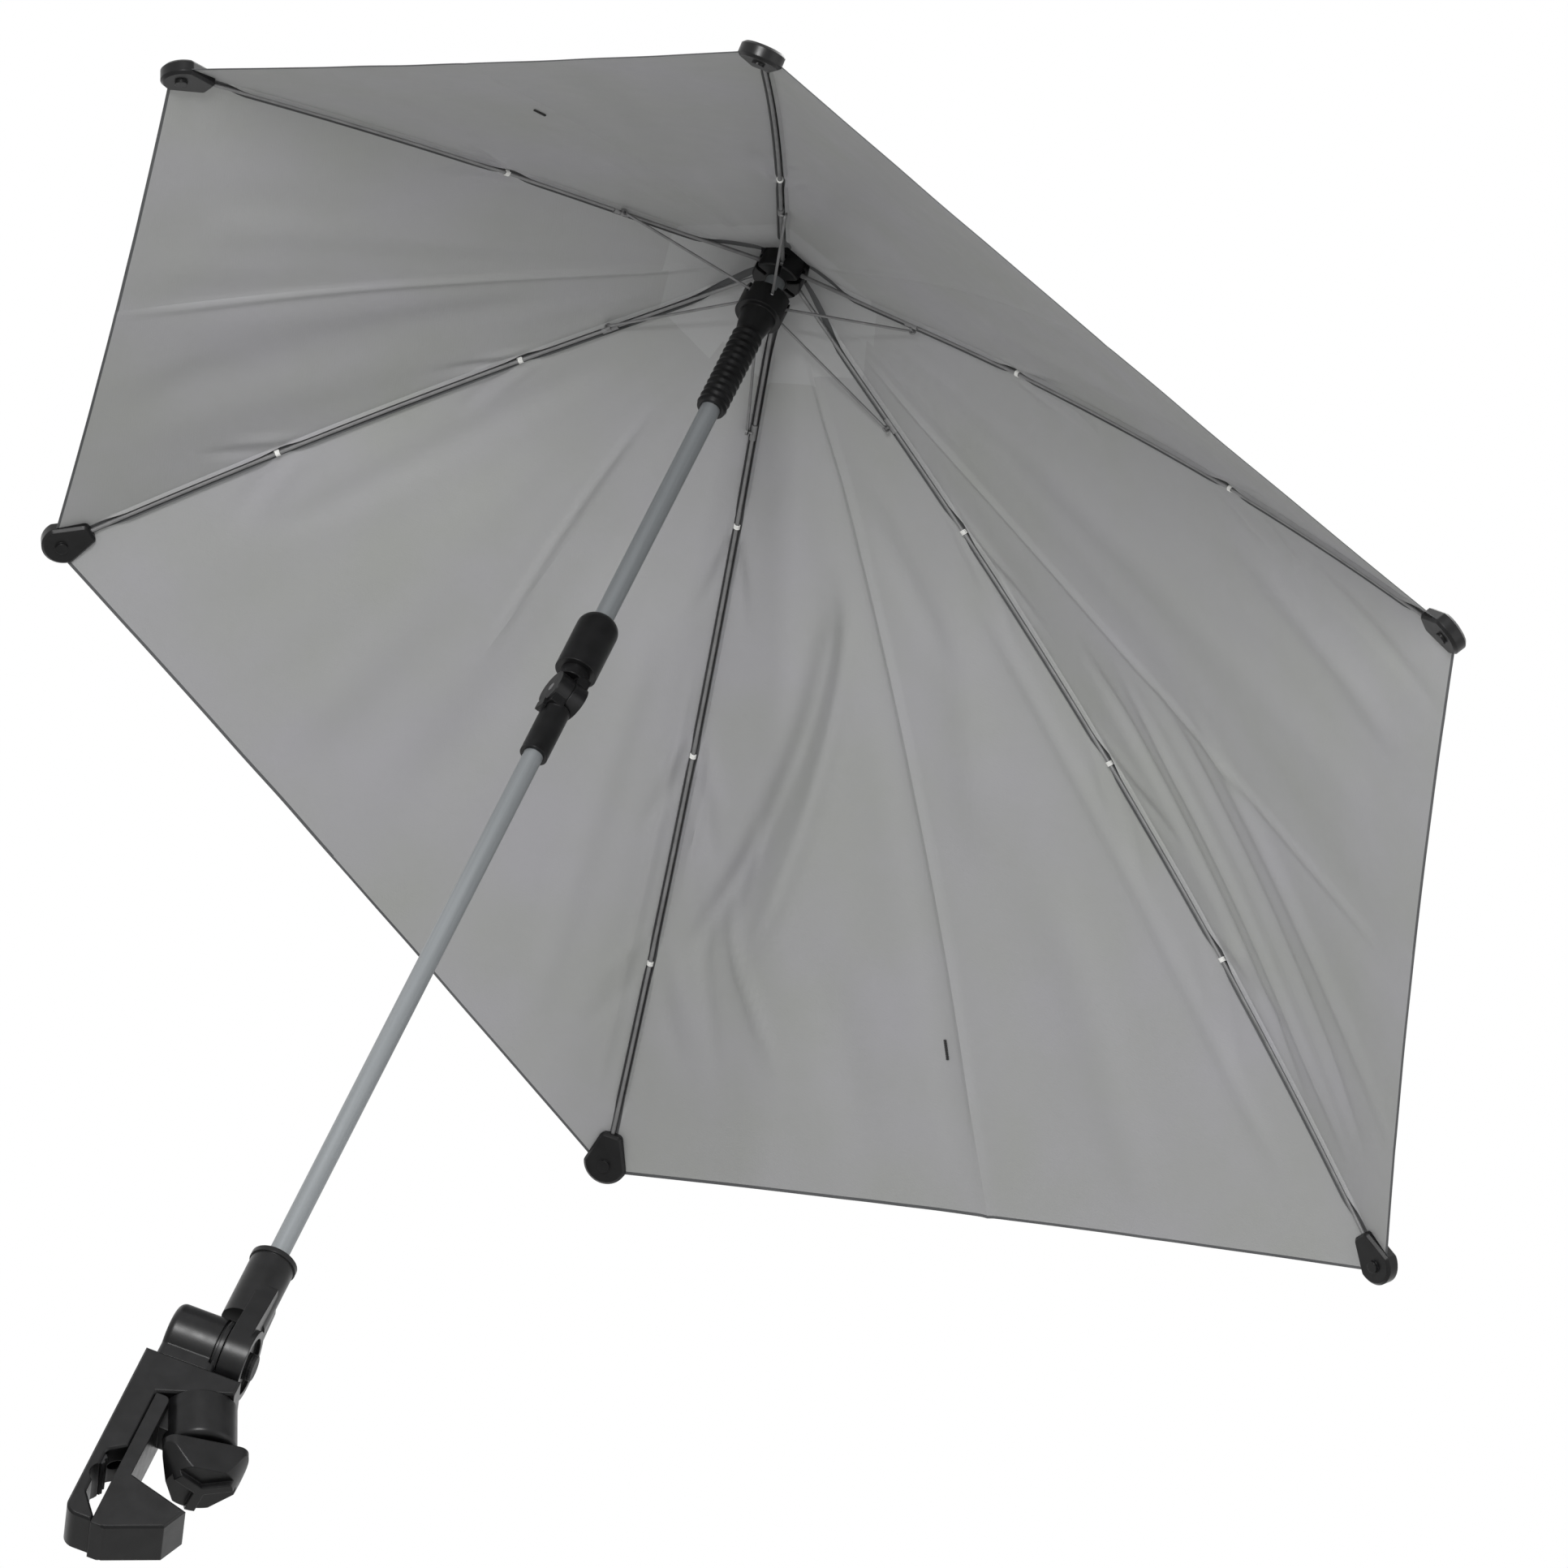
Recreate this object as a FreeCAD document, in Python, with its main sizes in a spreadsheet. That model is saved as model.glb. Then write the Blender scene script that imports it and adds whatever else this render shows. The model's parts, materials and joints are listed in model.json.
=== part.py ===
import FreeCAD, Part
import math
import os
import re

from FreeCAD import Placement, Rotation, Vector

# Pram parasol, in millimetres. The pram tube lies along Y through the origin, the pole stands along +Z.

SIZES = {
    # Pole
    "pole_x": 35, "tube_diameter": 14, "tube_wall": 1, "fit_gap": 0.05, "run_gap": 0.3, "overrun": 2,
    "crown_height": 1155,
    # Clamp body and the pram tube that it grips
    "grip_diameter": 16, "grip_fit": 0.1, "groove_depth": 4, "spine_thickness": 8, "clamp_depth": 40,
    "bar_top": 108, "bar_end_x": 56, "bar_thickness": 20, "throat_top": 28, "spine_bottom": 38,
    "hook_reach": 12, "hook_slope": 9, "throat_fillet": 5, "spine_round": 9, "body_edge": 1.5,
    "pad_thickness": 1.5, "pad_gap": 0.3, "pad_length": 36, "pad_height": 8, "pad_rib": 1,
    # Screw, jaw and knob, which lean away from the spine
    "screw_lean": 22, "screw_x": 28, "spindle_diameter": 10, "knob_gap": 3, "jaw_gap": 0.5,
    "strip_thickness": 10, "strip_bottom": 40, "strip_round": 4, "boss_diameter": 50, "boss_length": 35,
    "boss_round": 4, "web_depth": 24, "web_top": 6, "web_thickness": 14, "foot_height": 48, "foot_reach": 44,
    "foot_rise": 17, "foot_end": 18, "foot_back": 8,
    "knob_radius": 33, "knob_tip_round": 9, "knob_height": 24, "knob_taper": 13, "knob_turn": -15,
    "ridge_width": 7, "ridge_height": 4,
    # Tilt joint
    "knuckle_lift": 27, "tilt_height": "=bar_top + knuckle_lift", "knuckle_radius": 25, "knuckle_length": 40,
    "ear_thickness": 17, "tilt_gap": 0.4,
    "neck_width": 36, "tilt_pin_diameter": 10, "button_diameter": 19, "button_height": 8, "button_proud": 4,
    "button_recess": 9, "button_round": 1.5, "dish_diameter": 40, "dish_depth": 3, "knuckle_groove": 2,
    "knuckle_lip": 5,
    "screw_diameter": 5, "screw_length": 26, "screw_inset": 7, "screw_spread": 13, "screw_head": 9, "screw_head_height": 3,
    "socket_lift": 35, "socket_floor": "=tilt_height + socket_lift", "socket_length": 52,
    "socket_top": "=socket_floor + socket_length", "socket_diameter": 31, "socket_lip": 2, "socket_lip_height": 4,
    "shoulder_length": 22, "shoulder_inset": 1.5, "mast_turn": 30,
    # Elbow
    "elbow_drop": 408, "lap_radius": 13, "lap_thickness": 11, "lap_gap": 0.2, "fitting_diameter": 20,
    "fitting_length": 42, "elbow_pin_diameter": 6, "knuckle_clear": 1, "tooth_height": 6, "tooth_reach": 3,
    "sleeve_diameter": 30, "sleeve_length": 50, "sleeve_lift": 9, "sleeve_dome": 12, "tube_seat": 28,
    # Crown and top cap
    "crown_radius": 18, "crown_above": 9, "crown_below": 9, "hinge_radius": 12, "eye_radius": 3,
    "eye_thickness": 2.6, "root_width": 2.2, "root_height": 2.6, "slot_gap": 0.4, "rib_pin_diameter": 2,
    "pin_length": 9, "pin_fit": 0.06, "cap_radius": 26, "cap_edge": 2, "cap_rise": 9, "tube_top": 6,
    # Runner
    "runner_drop": 31, "runner_pivot_radius": 14, "runner_bottom": 133, "flange_radius": 17, "flange_above": 6,
    "flange_below": 12, "collar_radius": 13, "collar_length": 16, "grip_radius": 10, "grip_ring": 1,
    "grip_pitch": 6, "stretcher_pin_diameter": 1.6,
    # Ribs and stretchers
    "rib_diameter": 3, "rib_slope": 22, "straight_length": 132, "bracket_margin": 12,
    "bracket_place": "=straight_length - bracket_margin", "bracket_length": 12,
    "bracket_radius": 2.5, "bracket_rivet": 2, "bracket_drop": 2.5, "stretcher_diameter": 2, "stretcher_offset": 4.2,
    "stretcher_eye": 2.4, "flat_eye": 1.6, "rivet_gap": 0.4,
    "rear_reach": 461, "rear_drop": 197, "back_reach": 522, "back_drop": 235, "back_turn": 117,
    "side_reach": 652, "side_drop": 317, "side_turn": 55.6, "front_reach": 730, "front_drop": 368,
    # Tip caps
    "tip_length": 38, "tip_mouth": 15, "tip_width": 32, "tip_above": 6, "tip_below": 5, "tip_shoulder": 14,
    "tip_round": 4, "tip_edge": 2, "tip_bore": 19, "tip_fit": 0.22, "tip_boss": 9, "tip_boss_height": 2,
    # Canopy
    "cloth_thickness": 0.8, "cloth_gap": 0.4, "cloth_start": 24, "cloth_seam": 0.3, "rim_inset": 5,
}
# Inward scallop of the rim as a share of the distance to the crown, and stations along a rib
SCALLOP_SHARE = 0.01
STATION_SHARES = (0, 0.2, 0.4, 0.6, 0.8, 1)
KNOB_CORNERS = 3
FULL_TURN = 360
RIB_COUNT = 6

X_AXIS, Y_AXIS, Z_AXIS = Vector(1, 0, 0), Vector(0, 1, 0), Vector(0, 0, 1)

doc = FreeCAD.newDocument("pram_parasol")
sheet = doc.addObject("Spreadsheet::Sheet", "sizes")
for row, (alias, value) in enumerate(SIZES.items(), start=1):
    sheet.set(f"A{row}", alias)
    sheet.set(f"B{row}", str(value))
    sheet.setAlias(f"B{row}", alias)
doc.recompute()

nodes = []


def size(name):
    """A named size from the sheet."""
    return float(sheet.get(name))


def bind(obj, **expressions):
    """Bind properties to expressions written in the sheet's names; a double underscore stands for a dot."""
    for prop, text in expressions.items():
        bound = re.sub(r"[a-z_]+", lambda word: "sizes." + word.group(0), str(text))
        obj.setExpression(prop.replace("__", "."), bound)
    return obj


def place(obj, at, turn=None):
    """Place an object at three expressions, after an optional fixed rotation."""
    if turn:
        obj.Placement = Placement(Vector(), turn)
    return bind(obj, Placement__Base__x=at[0], Placement__Base__y=at[1], Placement__Base__z=at[2])


ALONG = {"x": Rotation(Y_AXIS, 90), "y": Rotation(X_AXIS, -90), "z": None}


def cylinder(name, diameter, length, at, along="z"):
    """A cylinder from a point, along one axis."""
    obj = doc.addObject("Part::Cylinder", name)
    bind(obj, Radius=f"({diameter}) / 2", Height=length)
    return place(obj, at, ALONG[along])


def box(name, lengths, at):
    """A box from its least corner."""
    obj = doc.addObject("Part::Box", name)
    bind(obj, Length=lengths[0], Width=lengths[1], Height=lengths[2])
    return place(obj, at)


def fuse(name, *pieces):
    """One solid from several objects."""
    obj = doc.addObject("Part::MultiFuse", name)
    obj.Shapes = list(pieces)
    obj.Refine = True
    return obj


def cut(name, base, tool):
    """One object less another."""
    obj = doc.addObject("Part::Cut", name)
    obj.Base, obj.Tool = base, tool
    return obj


def node(obj, label):
    """Keep an object as a sub-part under its own label."""
    obj.Label = label
    nodes.append(obj)
    return obj


def feature(label, shape, placement=None):
    """Keep a shape worked out from the sheet as a sub-part."""
    obj = doc.addObject("Part::Feature", label)
    obj.Shape = shape
    if placement:
        obj.Placement = placement
    return node(obj, label)


def upright(points):
    """A face in the XZ plane from (x, z) points."""
    corners = [Vector(x, 0, z) for x, z in points]
    return Part.Face(Part.makePolygon(corners + corners[:1]))


def slab(points, depth):
    """A plate of the given depth, centred on the XZ plane."""
    face = upright(points)
    face.translate(Vector(0, -depth / 2, 0))
    return face.extrude(Vector(0, depth, 0))


def round_edges(shape, radius, chosen):
    """Fillet the edges that a test picks."""
    edges = [edge for edge in shape.Edges if chosen(edge)]
    return shape.makeFillet(radius, edges)


def chamfer_sides(shape, width, depth):
    """Chamfer the outline of a plate on both of its faces."""
    edges = [edge for edge in shape.Edges if abs(abs(edge.CenterOfMass.y) - depth / 2) < size("fit_gap")]
    return shape.makeChamfer(width, edges)


def runs_along(edge, axis):
    """True for a straight edge along an axis."""
    if edge.Curve.TypeId != "Part::GeomLine":
        return False
    return abs(edge.tangentAt(edge.FirstParameter).dot(axis)) > math.cos(math.radians(1))


# Clamp: places shared by its body and its jaw
lean = math.radians(size("screw_lean"))
screw_top = Vector(size("screw_x"), 0, size("bar_top"))
screw_frame = Placement(screw_top, Rotation(Y_AXIS, -size("screw_lean")))
grip_radius = size("grip_diameter") / 2
spine_face = size("groove_depth") - grip_radius
strip_face = grip_radius + size("grip_fit") + size("run_gap")
body_face = strip_face - size("jaw_gap")
under_screw = size("bar_thickness") / math.cos(lean)


def bar_underside(x):
    """Height of the bar's slanted underside, square to the screw."""
    foot = screw_frame.multVec(Vector(0, 0, -under_screw))
    return foot.z + (x - foot.x) * math.tan(lean)


def clamp_body():
    """Hooked body: bar on top, spine beside the throat, groove for the pram tube, bore for the screw."""
    spine_back = spine_face - size("spine_thickness")
    hook_tip = spine_face + size("hook_reach")
    low = -size("spine_bottom")
    lip = low + size("hook_slope") / 2
    profile = [
        (spine_back, size("bar_top")), (size("bar_end_x"), size("bar_top")),
        (size("bar_end_x"), bar_underside(size("bar_end_x"))), (body_face, bar_underside(body_face)),
        (body_face, size("throat_top")), (spine_face, size("throat_top") - size("hook_slope")),
        (spine_face, low + size("hook_slope") + size("hook_reach")), (hook_tip, lip), (hook_tip, low),
        (spine_back, low),
    ]
    body = slab(profile, size("clamp_depth"))
    rounded = size("throat_fillet")
    body = round_edges(body, rounded, lambda e: runs_along(e, Y_AXIS) and e.CenterOfMass.z < size("throat_top")
                       and spine_back + rounded / 2 < e.CenterOfMass.x < hook_tip - rounded)
    body = round_edges(body, size("spine_round"), lambda e: runs_along(e, Y_AXIS) and e.CenterOfMass.z < lip
                       and e.CenterOfMass.x < spine_face)
    body = chamfer_sides(body, size("body_edge"), size("clamp_depth"))
    reach = size("clamp_depth") + size("overrun")
    groove_radius = grip_radius + size("grip_fit")
    groove = Part.makeCylinder(groove_radius, reach, Vector(0, -reach / 2, 0), Y_AXIS)
    bore_radius = size("spindle_diameter") / 2 + size("run_gap")
    bore = Part.makeCylinder(bore_radius, 2 * reach, Vector(0, 0, -reach))
    bore.Placement = screw_frame
    pockets = [screw_pocket(side) for side in (-1, 1)]
    return feature("clamp_body", body.cut([groove, bore] + pockets))


def screw_place(side):
    """Foot of one of the two knuckle screws, at the bar's underside."""
    knuckle_start = size("pole_x") - size("tilt_gap") - size("knuckle_length")
    x = knuckle_start + size("screw_inset") + (side + 1) / 2 * size("screw_spread")
    return Vector(x, 0, size("bar_top") - size("bar_thickness"))


def screw_pocket(side):
    """Hole for a knuckle screw and its head."""
    at = screw_place(side)
    shank = Part.makeCylinder(size("screw_diameter") / 2 + size("fit_gap"), size("screw_length"), at)
    head_hole = Part.makeCylinder(size("screw_head") / 2 + size("fit_gap"), size("bar_top"),
                                  at + Vector(0, 0, size("screw_head_height") - size("bar_top")))
    return shank.fuse(head_hole)


def knuckle_screws():
    """Two screws that hold the knuckle down on the bar."""
    screws = []
    for side in (-1, 1):
        at = screw_place(side)
        shank = Part.makeCylinder(size("screw_diameter") / 2, size("screw_length"), at)
        head = Part.makeCylinder(size("screw_head") / 2, size("screw_head_height"), at)
        screws.append(shank.fuse(head).removeSplitter())
    return feature("knuckle_screws", Part.makeCompound(screws))


def tilt_knuckle():
    """Barrel on the bar that carries the tilt pin, with a ring groove at each end."""
    start = size("pole_x") - size("tilt_gap") - size("knuckle_length")
    length, radius = size("knuckle_length"), size("knuckle_radius")
    centre = Vector(start, 0, size("tilt_height"))
    barrel = Part.makeCylinder(radius, length, centre, X_AXIS)
    barrel = round_edges(barrel, size("knuckle_lip"), lambda e: abs(e.CenterOfMass.x - start) < size("fit_gap"))
    neck = Part.makeBox(length, size("neck_width"), size("tilt_height") - size("bar_top"),
                        Vector(start, -size("neck_width") / 2, size("bar_top")))
    neck = round_edges(neck, size("knuckle_lip"), lambda e: runs_along(e, Z_AXIS))
    ring_at = Vector(start + length - size("knuckle_lip"), 0, size("tilt_height"))
    ring = Part.makeCylinder(radius + size("overrun"), size("knuckle_groove"), ring_at, X_AXIS)
    ring = ring.cut(Part.makeCylinder(radius - size("knuckle_groove"), size("knuckle_groove"), ring_at, X_AXIS))
    bore_radius = size("tilt_pin_diameter") / 2 + size("fit_gap")
    bore = Part.makeCylinder(bore_radius, length, centre + Vector(size("knuckle_lip"), 0, 0), X_AXIS)
    holes = []
    for side in (-1, 1):
        holes.append(Part.makeCylinder(size("screw_diameter") / 2 + size("fit_gap"), size("screw_length"),
                                       screw_place(side)))
    return feature("tilt_knuckle", barrel.fuse(neck).cut([ring, bore] + holes).removeSplitter())


def spine_pad():
    """Ridged rubber pad on the spine above the groove."""
    pad_top = grip_radius + size("pad_gap") + size("pad_height")
    blocks = [Part.makeBox(size("pad_thickness"), size("pad_length"), size("pad_height"),
                           Vector(spine_face, -size("pad_length") / 2, pad_top - size("pad_height")))]
    ridge_step = size("pad_height") / 2
    for index in range(2):
        at = Vector(spine_face + size("pad_thickness"), -size("pad_length") / 2, pad_top - ridge_step * (index + 0.5))
        blocks.append(Part.makeCylinder(size("pad_rib"), size("pad_length"), at, Y_AXIS))
    pad = blocks[0].fuse(blocks[1:]).removeSplitter()
    return feature("spine_pad", pad)


def screw_solid(shape):
    """Move a shape drawn along the screw, with the bar's top at zero, to its leaning place."""
    shape.Placement = screw_frame
    return shape


def clamp_jaw():
    """Jaw: gripping strip, web to the round boss on the screw, and a braced foot."""
    strip_right = strip_face + size("strip_thickness")
    strip_top = bar_underside(strip_face) - size("jaw_gap") * 2
    low = -size("strip_bottom")
    depth = size("clamp_depth")
    strip = slab([(strip_face, low), (strip_right, low), (strip_right, strip_top), (strip_face, strip_top)], depth)
    strip = round_edges(strip, size("strip_round"),
                        lambda e: runs_along(e, Y_AXIS) and e.CenterOfMass.x > strip_right - size("fit_gap"))
    foot_low = low + size("foot_rise")
    foot = slab([(strip_right - size("strip_round"), low + size("foot_height")),
                 (strip_right - size("strip_round"), low),
                 (strip_right, low),
                 (strip_right + size("foot_reach") - size("foot_back"), foot_low),
                 (strip_right + size("foot_reach"), foot_low + size("foot_end")),
                 (strip_right, low + size("foot_height"))], depth)
    foot = chamfer_sides(foot, size("body_edge"), depth)
    boss_top = -under_screw - size("jaw_gap")
    boss_radius = size("boss_diameter") / 2
    boss = Part.makeCylinder(boss_radius, size("boss_length"), Vector(0, 0, boss_top - size("boss_length")))
    boss = round_edges(boss, size("boss_round"), lambda e: e.Curve.TypeId == "Part::GeomCircle"
                       and abs(e.CenterOfMass.z - boss_top) > size("boss_round"))
    boss = screw_solid(boss)
    upper = screw_frame.multVec(Vector(0, 0, boss_top))
    lower = screw_frame.multVec(Vector(0, 0, boss_top - size("boss_length")))
    web = slab([(strip_right - size("strip_round"), strip_top - size("web_top") - size("web_thickness")),
                (lower.x, lower.z), (upper.x, upper.z),
                (strip_right - size("strip_round"), strip_top - size("jaw_gap"))], size("web_depth"))
    hole = Part.makeCylinder(size("spindle_diameter") / 2 + size("run_gap"), size("boss_length") + size("overrun"),
                             Vector(0, 0, boss_top - size("boss_length") - size("overrun") / 2))
    jaw = strip.fuse([foot, boss, web]).cut(screw_solid(hole)).removeSplitter()
    return feature("clamp_jaw", jaw)


def knob_top():
    """Place of the knob's upper face along the screw."""
    return -under_screw - size("jaw_gap") - size("boss_length") - size("knob_gap")


def clamp_knob():
    """Three-cornered hand knob, tapered towards its free face, with a three-armed ridge on it."""
    top, height, corner = knob_top(), size("knob_height"), size("knob_radius") + size("knob_tip_round")
    low = top - height
    turns = [math.radians(size("knob_turn") + FULL_TURN / KNOB_CORNERS * index) for index in range(KNOB_CORNERS)]
    corners = [Vector(corner * math.cos(turn), corner * math.sin(turn), top) for turn in turns]
    knob = Part.Face(Part.makePolygon(corners + corners[:1])).extrude(Vector(0, 0, -height))
    knob = round_edges(knob, size("knob_tip_round"), lambda e: runs_along(e, Z_AXIS))
    ridges = []
    for turn in turns:
        ridge = Part.makeBox(size("knob_radius"), size("ridge_width"), size("ridge_height") + size("overrun"),
                             Vector(0, -size("ridge_width") / 2, low - size("ridge_height")))
        ridge.rotate(Vector(), Z_AXIS, math.degrees(turn))
        ridges.append(ridge)
    wide = size("knob_radius") + size("overrun")
    taper = Part.makeCone(wide - size("knob_taper"), wide, height + size("ridge_height"),
                          Vector(0, 0, low - size("ridge_height")))
    seat = Part.makeCylinder(size("spindle_diameter"), size("knob_gap") - size("run_gap"), Vector(0, 0, top))
    bore = Part.makeCylinder(size("spindle_diameter") / 2 + size("fit_gap"), height / 2 + size("knob_gap"),
                             Vector(0, 0, top - height / 2))
    knob = knob.fuse(ridges).common(taper).fuse(seat).cut(bore).removeSplitter()
    return feature("clamp_knob", screw_solid(knob))


def clamp_spindle():
    """Screw spindle from the knob up through the jaw's boss into the bar."""
    bottom = knob_top() - size("knob_height") / 2
    length = -bottom - size("jaw_gap") - size("spindle_diameter") / 2 * math.tan(lean)
    spindle = Part.makeCylinder(size("spindle_diameter") / 2, length, Vector(0, 0, bottom))
    return feature("clamp_spindle", screw_solid(spindle))


def tilt_pin():
    """Pin of the tilt joint, held in the knuckle."""
    start = "pole_x - tilt_gap - knuckle_length + knuckle_lip"
    length = "knuckle_length - knuckle_lip + tilt_gap * 2 + ear_thickness - button_recess - overrun"
    return node(cylinder("tilt_pin", "tilt_pin_diameter", length, (start, 0, "tilt_height"), "x"), "tilt_pin")


def tube_socket():
    """Socket for the pole, drawn out through sloping shoulders into the round ear of the tilt joint."""
    face = "pole_x + tilt_gap"
    ear = cylinder("ear_disc", "knuckle_radius * 2", "ear_thickness", (face, 0, "tilt_height"), "x")
    barrel = cylinder("socket_barrel", "socket_diameter", "socket_top - socket_floor + overrun * 2",
                      ("pole_x", 0, "socket_floor - overrun * 2"))
    lip = cylinder("socket_rim", "socket_diameter + socket_lip", "socket_lip_height",
                   ("pole_x", 0, "socket_top - socket_lip_height"))
    bore = cylinder("socket_bore", "tube_diameter + fit_gap * 2", "socket_top - socket_floor + overrun",
                    ("pole_x", 0, "socket_floor"))
    pin_hole = cylinder("ear_hole", "tilt_pin_diameter + pin_fit * 2", "ear_thickness",
                        (face, 0, "tilt_height"), "x")
    recess = cylinder("button_recess_hole", "button_diameter + run_gap * 2", "button_recess + overrun",
                      (f"{face} + ear_thickness - button_recess", 0, "tilt_height"), "x")
    dish = cylinder("ear_dish", "dish_diameter", "dish_depth + overrun",
                    (f"{face} + ear_thickness - dish_depth", 0, "tilt_height"), "x")
    holes = fuse("socket_holes", bore, pin_hole, recess, dish)
    arm = fuse("ear_arm", ear, shoulders())
    return node(cut("tube_socket", fuse("socket_solid", arm, barrel, lip), holes), "tube_socket")


def shoulders():
    """Plate between ear and barrel, as wide as the ear below and as the barrel above."""
    low, high = size("tilt_height"), size("socket_floor") + size("shoulder_length")
    wide, narrow = size("knuckle_radius"), size("socket_diameter") / 2 - size("shoulder_inset")
    lean_out = math.asin((wide - narrow) / (high - low))
    side = (wide * math.cos(lean_out), low + wide * math.sin(lean_out))
    ends = [(-side[0], side[1]), side, (narrow, high), (-narrow, high)]
    start = size("pole_x") + size("tilt_gap")
    corners = [Vector(start, y, z) for y, z in ends]
    plate = Part.Face(Part.makePolygon(corners + corners[:1]))
    obj = doc.addObject("Part::Feature", "ear_shoulders")
    obj.Shape = plate.extrude(Vector(narrow - size("tilt_gap"), 0, 0))
    return obj


def tilt_button():
    """Push button that frees the tilt joint."""
    start = "pole_x + tilt_gap + ear_thickness + button_proud - button_height"
    button = cylinder("button_blank", "button_diameter", "button_height", (start, 0, "tilt_height"), "x")
    doc.recompute()
    rounded = doc.addObject("Part::Fillet", "tilt_button")
    rounded.Base = button
    outer = max(range(len(button.Shape.Edges)), key=lambda i: button.Shape.Edges[i].CenterOfMass.x)
    rounded.Edges = [(outer + 1, size("button_round"), size("button_round"))]
    return node(rounded, "tilt_button")


def tube(name, bottom, top):
    """A length of pole."""
    outer = cylinder(name + "_outer", "tube_diameter", f"{top} - ({bottom})", ("pole_x", 0, bottom))
    inner = cylinder(name + "_inner", "tube_diameter - tube_wall * 2", f"{top} - ({bottom})", ("pole_x", 0, bottom))
    return node(cut(name, outer, inner), name)


ELBOW = "crown_height - elbow_drop"


def elbow_half(label, side, up):
    """One half of the elbow: a round lap on one side of the pole and a socket for the tube."""
    lap_start = "pole_x + lap_gap" if side > 0 else "pole_x - lap_gap - lap_thickness"
    lap = cylinder(label + "_lap", "lap_radius * 2", "lap_thickness", (lap_start, 0, ELBOW), "x")
    reach = "(lap_radius + knuckle_clear)"
    arm_low = ELBOW if up > 0 else f"{ELBOW} - lap_radius - knuckle_clear - overrun"
    arm = box(label + "_arm", ("fitting_diameter / 2 - lap_gap", "fitting_diameter", f"{reach} + overrun"),
              ("pole_x + lap_gap" if side > 0 else "pole_x - fitting_diameter / 2", "-fitting_diameter / 2", arm_low))
    low = f"{ELBOW} + {reach}" if up > 0 else f"{ELBOW} - {reach} - fitting_length"
    barrel = cylinder(label + "_barrel", "fitting_diameter", "fitting_length", ("pole_x", 0, low))
    pieces = [lap, arm, barrel]
    if up < 0:
        pieces.append(box(label + "_tooth", ("tooth_reach", "fitting_diameter / 2", "tooth_height"),
                          ("pole_x - fitting_diameter / 2 - tooth_reach + fit_gap", "-fitting_diameter / 4",
                           f"{ELBOW} - {reach} - tooth_height")))
    bore_low = f"{low} + fitting_length - tube_seat" if up > 0 else f"{low} - overrun"
    bore = cylinder(label + "_bore", "tube_diameter + fit_gap * 2", "tube_seat + overrun", ("pole_x", 0, bore_low))
    clearance = "pin_fit" if up > 0 else "fit_gap"
    hole = cylinder(label + "_hole", f"elbow_pin_diameter + {clearance} * 2", "lap_thickness + overrun * 2",
                    (f"{lap_start} - overrun", 0, ELBOW), "x")
    half = cut(label + "_straight", fuse(label + "_solid", *pieces), fuse(label + "_holes", bore, hole))
    return node(turned_with_mast(label, half), label)


def turned_with_mast(label, obj):
    """Turn an object about the pole, with the mast in its socket."""
    turned = doc.addObject("Part::Compound", label)
    turned.Links = [obj]
    turned.Placement = Placement(Vector(), Rotation(Z_AXIS, size("mast_turn")), Vector(size("pole_x"), 0, 0))
    return turned


def elbow_sleeve():
    """Domed locking sleeve, shown pushed up clear of the elbow."""
    low = f"{ELBOW} + lap_radius + sleeve_lift"
    body = cylinder("sleeve_body", "sleeve_diameter", "sleeve_length", ("pole_x", 0, low))
    doc.recompute()
    domed = doc.addObject("Part::Fillet", "sleeve_domed")
    domed.Base = body
    top = max(range(len(body.Shape.Edges)), key=lambda i: body.Shape.Edges[i].CenterOfMass.z)
    dome = min(size("sleeve_dome"), size("sleeve_diameter") / 2 - size("tube_wall") - size("tube_diameter") / 4)
    domed.Edges = [(top + 1, dome, dome)]
    bore = cylinder("sleeve_bore", "fitting_diameter + fit_gap * 2",
                    "knuckle_clear - sleeve_lift + fitting_length + run_gap + overrun",
                    ("pole_x", 0, f"{low} - overrun"))
    throat = cylinder("sleeve_throat", "tube_diameter + fit_gap * 2", "sleeve_length + overrun", ("pole_x", 0, low))
    return node(cut("elbow_sleeve", domed, fuse("sleeve_holes", bore, throat)), "elbow_sleeve")


# Pole, crown and runner, turned about the pole's axis
pole_frame = Placement(Vector(size("pole_x"), 0, size("crown_height")), Rotation(Z_AXIS, size("mast_turn")))
back_turn, side_turn = size("back_turn"), size("side_turn")
RIBS = {
    1: ("rear", 180), 2: ("back", -back_turn), 3: ("side", -side_turn),
    4: ("front", 0), 5: ("side", side_turn), 6: ("back", back_turn),
}


def around(turn):
    """Frame of one rib: origin at the crown's centre, X outward, Y across the rib."""
    return pole_frame * Placement(Vector(), Rotation(Z_AXIS, turn))


def ring_of(shape_of_rib):
    """A list with one shape for each rib, turned to its place about the crown's centre."""
    shapes = []
    for kind, turn in RIBS.values():
        shape = shape_of_rib()
        shape.Placement = Placement(Vector(), Rotation(Z_AXIS, turn)) * shape.Placement
        shapes.append(shape)
    return shapes


def cross_pin(radius, length, reach, height, offset):
    """A pin across a rib's plane."""
    return Part.makeCylinder(radius, length, Vector(reach, offset - length / 2, height), Y_AXIS)


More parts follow.
